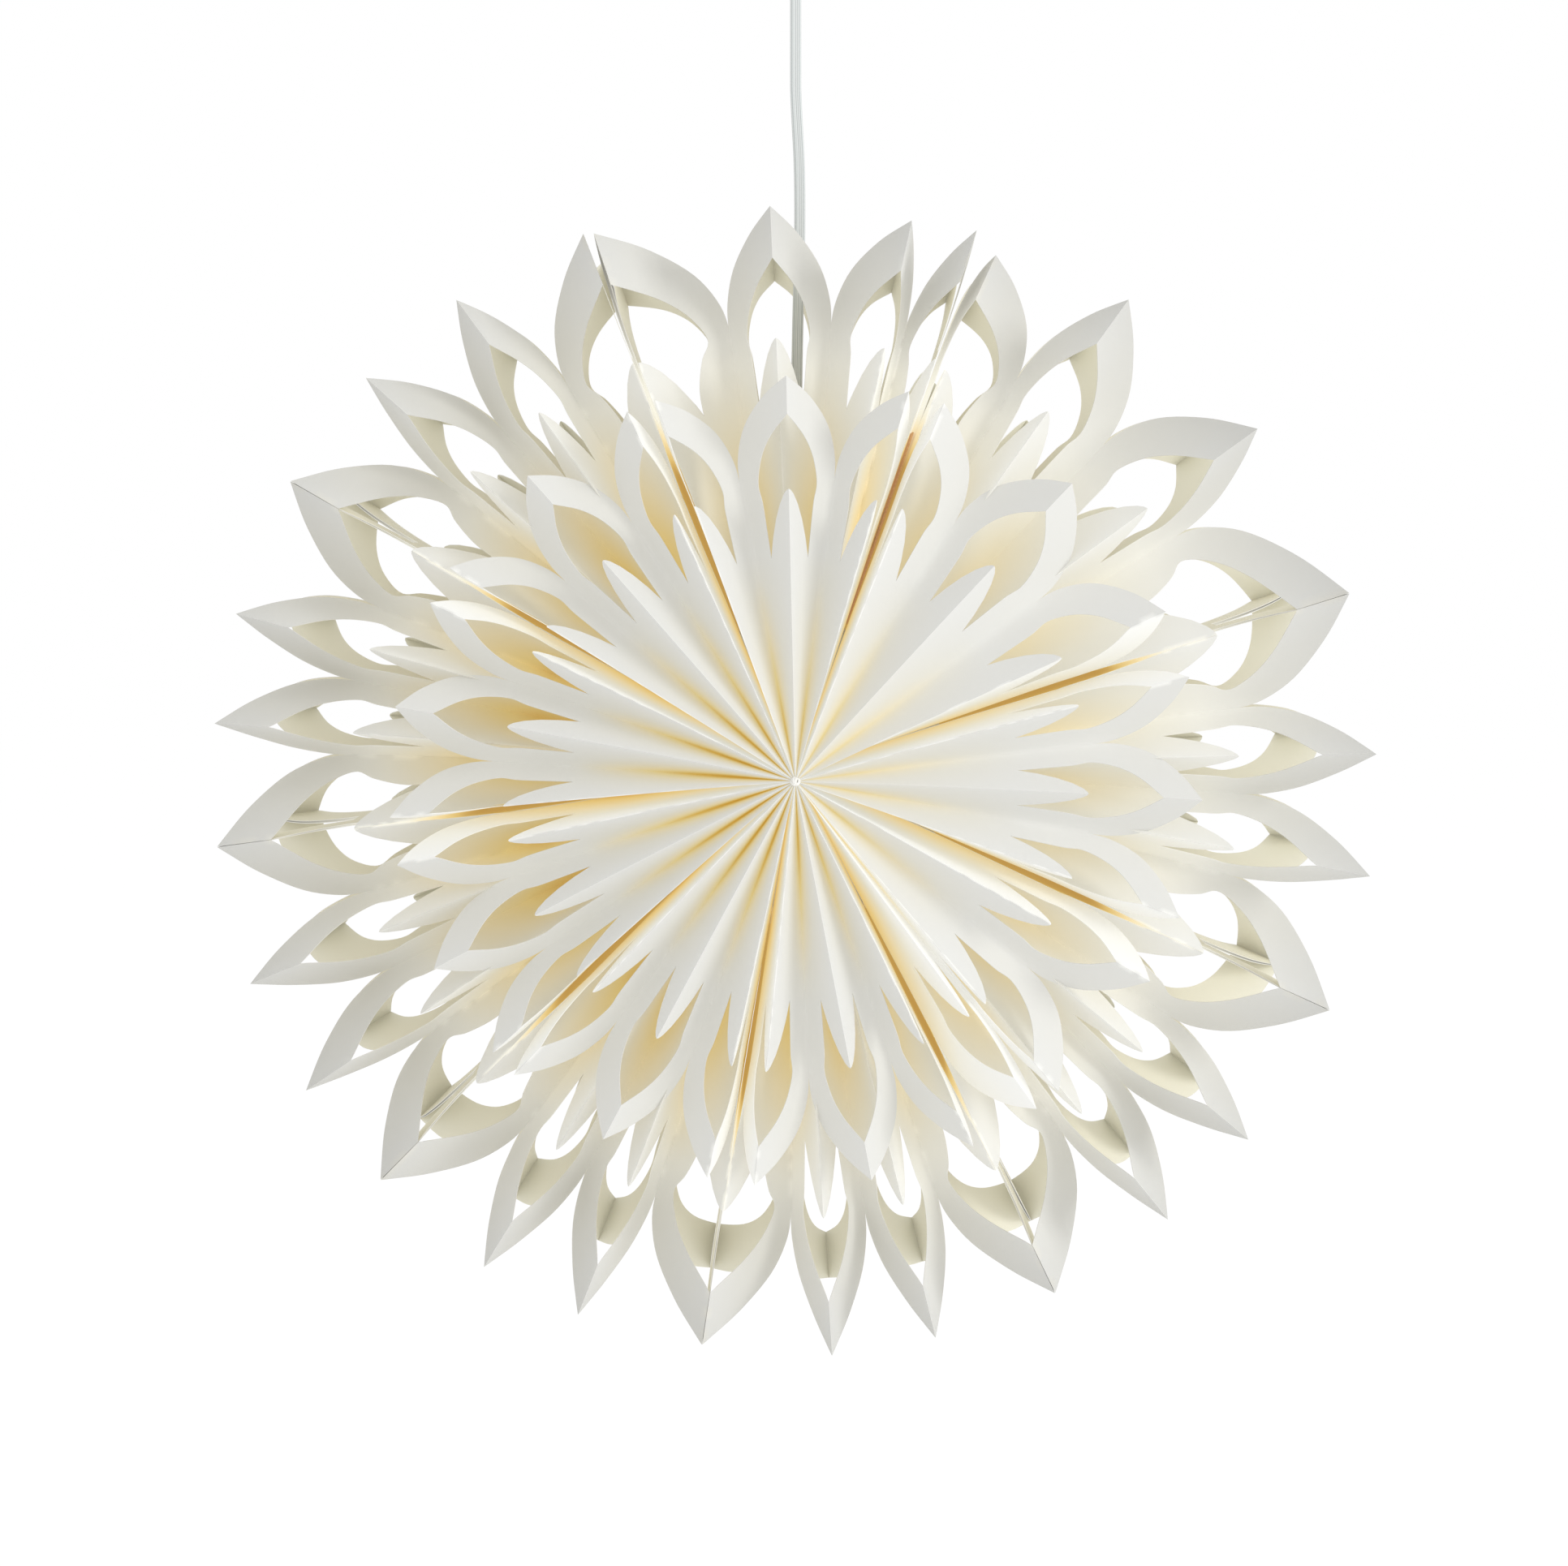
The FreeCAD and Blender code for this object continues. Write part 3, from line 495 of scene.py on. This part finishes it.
# Painted lamplight tint and shade: a ridge's, and what a valley adds to it, near the hub and then
# all over, and how much less of it the lit side shows.
RIDGE_WARM, VALLEY_WARM, RIDGE_TINT, VALLEY_TINT, STAR_COOLER = 0.2, 0.36, 0.02, 0.12, 0.5
# How far from the hub the painted tint and shade reach on the folds and the bags' flat sides.
STAR_WARM_REACH, STAR_WARM_FADE, STAR_WARM_CURVE = 236.0, 95.0, 1.3
SIDE_WARM, SIDE_WARM_REACH, SIDE_WARM_FADE, SIDE_WARM_LEAST = 0.68, 212.0, 40.0, 0.15


def star_depth(radius, bend):
    """How far the paper stands from the star's middle plane: bend is 0 on a ridge and 1 in a
    valley."""
    top = STAR_POLE + STAR_RISE * radius
    low = STAR_POLE - STAR_FALL * radius
    return top + (low - top) * bend


def side_painted_glow(radius):
    """The painted lamplight tint and shade of a bag's flat side, which shows in the slits."""
    return near_hub(radius, SIDE_WARM_REACH, SIDE_WARM_FADE, SIDE_WARM_LEAST) * SIDE_WARM


def star_sheet(ridge, valley, side, reach, slit=0.0, lean=0.0):
    """Half a star pleat between a ridge and a valley; slit bends a seam ridge away from its
    neighbour by up to that many millimetres, and lean turns its tip."""
    def place(share, radius):
        shut = SEAM_GAP * np.clip(radius / GAP_OPENS, 0, 1) if slit else 0.0
        clear = np.sign(valley - ridge) * np.degrees((seam_gap(radius, slit) + shut) / radius)
        outward = (radius / TIP_RADIUS) ** 2
        edge = ridge + clear + lean * outward
        angle = edge + (valley - edge) * share
        radius = radius * (1 + (reach - 1) * (1 - share) * outward)
        bend = 1 - (1 - share) ** SOFT_FOLD
        # Painted lamplight tint and shade: deeper in the valleys and near the hub, and less on
        # the lit side.
        inner = near_hub(radius, STAR_WARM_REACH, STAR_WARM_FADE) ** STAR_WARM_CURVE
        warm = inner * (RIDGE_WARM + VALLEY_WARM * bend) + VALLEY_TINT * bend + RIDGE_TINT
        warm *= 1 - STAR_COOLER * light_side(angle)
        return star_places(angle, radius, star_depth(radius, bend), side), warm
    return place


def bag_side(seam, inward, side, reach, lean):
    """Half of a bag's flat side, from its front or back ridge to the middle of the bag."""
    def place(share, radius):
        gap = seam_gap(radius, SLIT_HALF) * (1 - share) ** 2 + SEAM_GAP + SIDE_SPREAD * share
        outward = (radius / TIP_RADIUS) ** 2
        angle = seam + inward * np.degrees(gap / radius) + lean * outward * (1 - share)
        radius = radius * (1 + (reach - 1) * (1 - share) * outward)
        return star_places(angle, radius, star_depth(radius, share), side), side_painted_glow(radius)
    return place


def middle_strip(seam, inward):
    """The middle of a bag's flat side, between its front and back halves."""
    def place(share, radius):
        angle = seam + inward * np.degrees(STRIP_GAP / radius)
        depth = star_depth(radius, 1) * (1 - 2 * share)
        return star_places(angle, radius, depth, 1), side_painted_glow(radius)
    return place


STRIP_COLUMNS = 4
strip_blank, across, along = grid_sheet("strip_blank", STRIP_COLUMNS, LEAF_ROWS)
strip_radius = CAVITY + (STAR_CUT["valley"] - CAVITY) * along
put_vertices(strip_blank, np.stack([across, strip_radius, 0 * along], axis=1))

for index, module in enumerate(MODULES):
    folds = star_folds(index)
    reaches = dict(zip(folds[::2], module["reach"]))
    leans = {folds[0]: module["lean"][0], folds[-1]: module["lean"][1]}
    pleats = []
    for side in (1, -1):
        for number in range(len(folds) - 1):
            ends = folds[number], folds[number + 1]
            ridge, valley = ends if number % 2 == 0 else ends[::-1]
            at_seam = number in (0, len(folds) - 2)
            blank = wide_blank if at_seam else star_blank
            slit = SLIT_HALF if at_seam else 0.0
            bent = star_sheet(ridge, valley, side, reaches[ridge], slit, leans.get(ridge, 0.0))
            # Painted lamplight glow: more on the lit side and on a narrow pleat.
            closed_up = 1 - min(1.0, abs(valley - ridge) / FULL_STEP)
            lamplit = STAR_LIGHT * (1 + STAR_LIGHT_SIDE * light_side(ridge))
            lamplit += NARROW_LIGHT * closed_up
            pleats.append(half_pleat(blank, bent, OUTWARD[side], lamplit, STAR_GAIN))
        for seam, inward in ((folds[0], 1), (folds[-1], -1)):
            bent = bag_side(seam, inward, side, reaches[seam], leans[seam])
            pleats.append(half_pleat(side_blank, bent, sideways(seam, -inward),
                                     SLIT_LIGHT, SLIT_GAIN))
    for seam, inward in ((folds[0], 1), (folds[-1], -1)):
        pleats.append(half_pleat(strip_blank, middle_strip(seam, inward),
                                 sideways(seam, -inward), SLIT_LIGHT, SLIT_GAIN))
    name = f"star_bag_{index + 1}"
    paper_piece(f"folded_{name}", pleats, name)


# ---- Rosettes ----
# A smaller pleated leaf glued over each bag, front and back: three sharp ridges with soft
# valleys, and an end pleat each side that runs back beside the slit to the bag.
ROSETTE_CUT = {"spike": 151.0, "notch": 115.0, "inside": 190.0, "tip": 210.0, "valley": 157.0}
ROSETTE_POLE, ROSETTE_RIDGE_FALL, ROSETTE_VALLEY_FALL = 112.0, 0.05, 0.25
GATHERED = 2.2
# The end pleats: their hole, their distance from the slit, and their height over the bag.
FLAP_HOLE, FLAP_GAP, LEAST_GAP, FLAP_REACH, ABOVE_STAR = 0.6, 0.35, 0.1, 0.8, 1.0
# A pleat narrower than this many degrees is folded less deeply, and shows more painted lamplight.
FULL_WIDTH = 11.0
# Painted lamplight glow of the end pleats and the rosettes, and how far from the hub their
# painted tint reaches.
FLAP_LIGHT, ROSETTE_LIGHT = 1.0, 0.45
ROSETTE_WARM_REACH, FLAP_WARM_REACH, ROSETTE_WARM_FADE = 118.0, 175.0, 90.0
# A valley's painted tint and shade is a broad shade and a sharp line. The lit side shows less of
# it, and a little even painted tint instead.
BROAD_WARM, BROAD_CURVE, LINE_WARM, LINE_CURVE = 0.56, 1.7, 0.4, 9
ROSETTE_TINT, ROSETTE_COOLER, LIT_WARM = 0.1, 0.65, 0.13
# The end pleats' painted tint and shade: deeper towards the slit and near the hub, less on the
# lit side.
FLAP_WARM, FLAP_WARM_NEAR, FLAP_CURVE, FLAP_COOLER = 0.25, 0.5, 1.2, 0.35
rosette_blank = die_cut_blank("rosette_blank", ROSETTE_CUT, GATHERED, HOLE)
flap_blank = die_cut_blank("flap_blank", ROSETTE_CUT, GATHERED, FLAP_HOLE)


def rosette_sheet(ridge, valley, side, fold):
    """Half a rosette pleat; fold is how deep its valley is, 1 for a full one."""
    def place(share, radius):
        angle = ridge + (valley - ridge) * share
        bend = 1 - (1 - share) ** SOFT_FOLD
        top = ROSETTE_POLE - ROSETTE_RIDGE_FALL * radius
        low = ROSETTE_POLE - ROSETTE_VALLEY_FALL * radius
        depth = top + (low - top) * bend * fold
        # Painted lamplight tint and shade in the valley: a broad shade and a sharp line, less on
        # the lit side.
        near = near_hub(radius, ROSETTE_WARM_REACH, ROSETTE_WARM_FADE)
        glow = light_side(angle)
        deep = near * (BROAD_WARM * bend**BROAD_CURVE + LINE_WARM * bend**LINE_CURVE)
        deep += ROSETTE_TINT * bend
        warm = deep * (1 - ROSETTE_COOLER * glow) + LIT_WARM * near * glow
        return star_places(angle, radius, depth, side), warm
    return place


def end_pleat(ridge, seam, side):
    """Half a pleat that runs back from an outer ridge to the edge of the slit."""
    def place(share, radius):
        shut = FLAP_GAP * np.clip(radius / GAP_OPENS, LEAST_GAP, 1)
        clear = np.degrees((seam_gap(radius, SLIT_HALF) + shut) / radius)
        edge = seam + np.sign(ridge - seam) * np.minimum(clear, FLAP_REACH * abs(ridge - seam))
        angle = ridge + (edge - ridge) * share
        top = ROSETTE_POLE - ROSETTE_RIDGE_FALL * radius
        foot = star_depth(radius, 0) + ABOVE_STAR
        depth = top + (foot - top) * share
        # Painted tint and shade: deeper towards the slit and near the hub, less on the lit side.
        near = near_hub(radius, FLAP_WARM_REACH, ROSETTE_WARM_FADE)
        warm = share**FLAP_CURVE * (FLAP_WARM + FLAP_WARM_NEAR * near)
        warm *= 1 - FLAP_COOLER * light_side(angle)
        return star_places(angle, radius, depth, side), warm
    return place


for index, module in enumerate(MODULES):
    seams = star_folds(index)[0], star_folds(index)[-1]
    one, two, three = module["front"]
    folds = [one, (one + two) / 2, two, (two + three) / 2, three]
    for side, face in ((1, "front"), (-1, "back")):
        pleats = [half_pleat(flap_blank, end_pleat(one, seams[0], side),
                             sideways(one, -1), FLAP_LIGHT),
                  half_pleat(flap_blank, end_pleat(three, seams[1], side),
                             sideways(three, 1), FLAP_LIGHT)]
        for number in range(len(folds) - 1):
            ends = folds[number], folds[number + 1]
            ridge, valley = ends if number % 2 == 0 else ends[::-1]
            fold = min(1.0, 2 * abs(valley - ridge) / FULL_WIDTH)
            bent = rosette_sheet(ridge, valley, side, fold)
            # Painted lamplight glow: more on a narrow pleat.
            lamplit = ROSETTE_LIGHT + (1 - fold) * NARROW_LIGHT
            pleats.append(half_pleat(rosette_blank, bent, OUTWARD[side], lamplit))
        name = f"{face}_rosette_{index + 1}"
        paper_piece(f"folded_{name}", pleats, name)

for blank in (star_blank, wide_blank, side_blank, strip_blank, rosette_blank, flap_blank):
    bpy.data.objects.remove(blank)


# ---- Closing seam ----
# The first and last bags carry a stiff brown card each, and two pairs of touch-close patches
# between the cards hold the opened star shut.
def coat(nodes, finish):
    """Gives CAD nodes their finish."""
    for name in nodes:
        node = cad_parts[name]
        node.data.materials.clear()
        node.data.materials.append(finish)


def mottled(tree, shader, dark, light, scale, stretch=(1, 1, 1)):
    """Drives the base colour between two hex colours by noise; returns the noise."""
    place = add_node(tree, "ShaderNodeTexCoord")
    stretched = add_node(tree, "ShaderNodeMapping", {"Scale": stretch},
                         {"Vector": place.outputs["Object"]})
    noise = add_node(tree, "ShaderNodeTexNoise", {"Scale": scale, "Detail": 4.0},
                     {"Vector": stretched.outputs["Vector"]})
    blend = add_node(tree, "ShaderNodeValToRGB", links={"Fac": noise.outputs["Fac"]})
    colour_steps(blend, [(0.3, dark), (0.7, light)])
    tree.links.new(blend.outputs["Color"], shader.inputs["Base Color"])
    return noise


def roughen(tree, shader, noise, low, high, depth):
    """Noise moves the roughness between low and high and dents the surface by depth."""
    spread = add_node(tree, "ShaderNodeMapRange", {"To Min": low, "To Max": high},
                      {"Value": noise.outputs["Fac"]})
    tree.links.new(spread.outputs["Result"], shader.inputs["Roughness"])
    bump = add_node(tree, "ShaderNodeBump", {"Strength": 0.3, "Distance": depth},
                    {"Height": noise.outputs["Fac"]})
    tree.links.new(bump.outputs["Normal"], shader.inputs["Normal"])


kraft, tree, shader = new_finish("unbleached_kraft_card")
# Pressed brown fibres 0.4 mm long, drawn 1.5 mm.
grain = mottled(tree, shader, "#B28D63", "#D0AE85", 650.0, (1, 2.5, 1))
roughen(tree, shader, grain, 0.8, 0.95, 0.0001)
# A faint painted glow: emission stands for lamplight on the card.
shader.inputs["Emission Color"].default_value = linear("#C09A78")
shader.inputs["Emission Strength"].default_value = 0.3
coat(("end_card_first", "end_card_last"), kraft)

tape, tree, shader = new_finish("woven_nylon_touch_close")
# Its hooks and loops are drawn as a rough grain of 1.4 mm.
grain = mottled(tree, shader, "#CFCBC4", "#F0EDE8", 700.0)
roughen(tree, shader, grain, 0.75, 0.95, 0.0004)
shader.inputs["Sheen Weight"].default_value = 0.3
coat(("hook_patches", "loop_patches"), tape)


# ---- Centre knots ----
# White cotton thread gathers the rosettes' points and is knotted at the front and the back.
THREAD_RADIUS = 0.0009
KNOT_INSET, KNOT_TILT = 0.0018, 62
KNOT_TURNS = ((0.0, 0.0018), (58.0, 0.0016), (118.0, 0.0014))
STAR_CENTRE = (0, 0, STAR_HEIGHT / 1000)
knot_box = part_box("centre_knots")
knot_rings = []
for depth in (knot_box[0][1] + KNOT_INSET, knot_box[1][1] - KNOT_INSET):
    for angle, reach in KNOT_TURNS:
        bpy.ops.mesh.primitive_torus_add(
            major_radius=reach, minor_radius=THREAD_RADIUS, major_segments=24,
            minor_segments=10, location=(0, depth, STAR_CENTRE[2]),
            rotation=(math.radians(KNOT_TILT), math.radians(angle), math.radians(angle / 2)))
        knot_rings.append(bpy.context.object)
select_only(knot_rings)
bpy.ops.object.transform_apply(location=True, rotation=True, scale=True)
bpy.ops.object.join()
knots = bpy.context.object
knots.name = "thread_knots"
bpy.ops.object.shade_smooth()
cotton, tree, shader = new_finish("twisted_cotton_thread")
# Two-ply cotton: its twist is drawn as a grain of 0.5 mm.
grain = mottled(tree, shader, "#D8D6CF", "#F3F2EE", 2000.0)
roughen(tree, shader, grain, 0.85, 0.95, 0.0001)
knots.data.materials.append(cotton)
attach(knots, "pendant")
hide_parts("centre_knots")


# ---- Ceiling fixing ----
# A white lacquered screw hook, a zinc-plated wire loop clamped in a nylon grip by one screw,
# and the moulded cup that slides up the cord to cover them.
lacquer, tree, shader = new_finish("white_lacquered_steel")
# Sprayed lacquer: nearly smooth, with a faint orange peel of 2 mm.
grain = mottled(tree, shader, "#E4E4E2", "#EFEFED", 500.0)
roughen(tree, shader, grain, 0.26, 0.36, 0.00004)
shader.inputs["IOR"].default_value = 1.5
shader.inputs["Coat Weight"].default_value = 0.4
coat(("ceiling_hook", "support_bar"), lacquer)

zinc, tree, shader = new_finish("bright_zinc_plated_steel")
# Bright zinc: pale bluish metal, slightly clouded.
grain = mottled(tree, shader, "#B4B8BC", "#D2D5D8", 900.0)
roughen(tree, shader, grain, 0.24, 0.42, 0.00003)
shader.inputs["Metallic"].default_value = 1.0
coat(("hanging_loop", "grip_screw", "terminal_screws"), zinc)

moulded, tree, shader = new_finish("moulded_white_polypropylene")
# Injection-moulded polypropylene with a fine spark-eroded texture of about 1 mm.
grain = mottled(tree, shader, "#E2E2DF", "#ECECEA", 1100.0)
roughen(tree, shader, grain, 0.42, 0.55, 0.00005)
shader.inputs["IOR"].default_value = 1.49
shader.inputs["Subsurface Weight"].default_value = 0.08
coat(("cord_grip", "ceiling_cup", "holder_cap", "holder_shell", "shade_ring"), moulded)

soft_white, tree, shader = new_finish("soft_white_elastomer")
# Thermoplastic elastomer: matt, a little dusty.
grain = mottled(tree, shader, "#D4D4D1", "#E2E2DF", 800.0)
roughen(tree, shader, grain, 0.65, 0.8, 0.00005)
coat(("cup_grommet",), soft_white)


# ---- Lampholder ----
# A white moulded cap and shell clamp the support bar that carries the paper; inside are the
# steatite insert, the rolled brass sleeve, its sprung contact and two terminal screws.
steatite, tree, shader = new_finish("unglazed_steatite")
# Pressed and fired: matt cream with grey specks.
grain = mottled(tree, shader, "#D2CCBC", "#EAE6DA", 1400.0)
roughen(tree, shader, grain, 0.6, 0.8, 0.00006)
coat(("holder_insert",), steatite)

brass, tree, shader = new_finish("rolled_brass")
# Thin rolled brass, lightly tarnished.
grain = mottled(tree, shader, "#B98F42", "#D9B566", 500.0)
roughen(tree, shader, grain, 0.22, 0.4, 0.00004)
shader.inputs["Metallic"].default_value = 1.0
coat(("screw_sleeve", "centre_contact"), brass)


# ---- Bulb ----
# A small frosted globe bulb with a white moulded body and a nickel-plated screw cap.
nickel, tree, shader = new_finish("nickel_plated_brass")
# Plated thread: bright, with a warm grey cast.
grain = mottled(tree, shader, "#B2AEA5", "#CFCBC2", 700.0)
roughen(tree, shader, grain, 0.2, 0.36, 0.00004)
shader.inputs["Metallic"].default_value = 1.0
coat(("bulb_screw_cap",), nickel)

solder, tree, shader = new_finish("cast_solder")
# A dull bead of tin solder.
grain = mottled(tree, shader, "#8E8F90", "#ABACAD", 1200.0)
roughen(tree, shader, grain, 0.4, 0.6, 0.0001)
shader.inputs["Metallic"].default_value = 1.0
coat(("bulb_tip",), solder)

lamp_body, tree, shader = new_finish("moulded_polycarbonate_body")
# Moulded polycarbonate, satin white.
grain = mottled(tree, shader, "#E6E6E3", "#F0F0EE", 900.0)
roughen(tree, shader, grain, 0.35, 0.5, 0.00004)
coat(("bulb_base",), lamp_body)

frosted, tree, shader = new_finish("frosted_glass_lit")
# Acid-frosted glass, evenly lit from inside by a warm filament.
grain = mottled(tree, shader, "#FFF3DC", "#FFF8EA", 1500.0)
roughen(tree, shader, grain, 0.4, 0.55, 0.00003)
shader.inputs["Emission Color"].default_value = linear("#FFD79A")
shader.inputs["Emission Strength"].default_value = 3.0
coat(("bulb_globe",), frosted)


# ---- Floor and light ----
# A pale studio: a matt floor far below, even white surroundings and one large soft light
# high on the right.
FLOOR_SIZE, FLOOR_SPOT = 24.0, (0, 4.0, -1.5)
LIGHT_SPOT, LIGHT_SIZE, LIGHT_WATTS = (3.0, -1.9, 0.5), 1.4, 43
bpy.ops.mesh.primitive_plane_add(size=FLOOR_SIZE, location=FLOOR_SPOT)
floor = bpy.context.object
floor.name = "studio_floor"
pale, tree, shader = new_finish("pale_matt_floor")
shader.inputs["Base Color"].default_value = linear("#FFFFFF")
shader.inputs["Roughness"].default_value = 1.0
shader.inputs["Specular IOR Level"].default_value = 0.0
floor.data.materials.append(pale)

world = bpy.data.worlds.new("soft_white_room")
bpy.context.scene.world = world
world.use_nodes = True
room = world.node_tree.nodes["Background"]
room.inputs["Color"].default_value = (1, 1, 1, 1)
room.inputs["Strength"].default_value = 1.0

bpy.ops.object.light_add(type="AREA", location=LIGHT_SPOT)
key_light = bpy.context.object
key_light.name = "key_light"
key_light.data.shape = "SQUARE"
key_light.data.size = LIGHT_SIZE
key_light.data.energy = LIGHT_WATTS
aim = np.array(STAR_CENTRE) - np.array(LIGHT_SPOT)
key_light.rotation_euler = (math.atan2(math.hypot(aim[0], aim[1]), -aim[2]), 0,
                            math.atan2(-aim[0], aim[1]))
bpy.context.scene.view_settings.view_transform = "Standard"
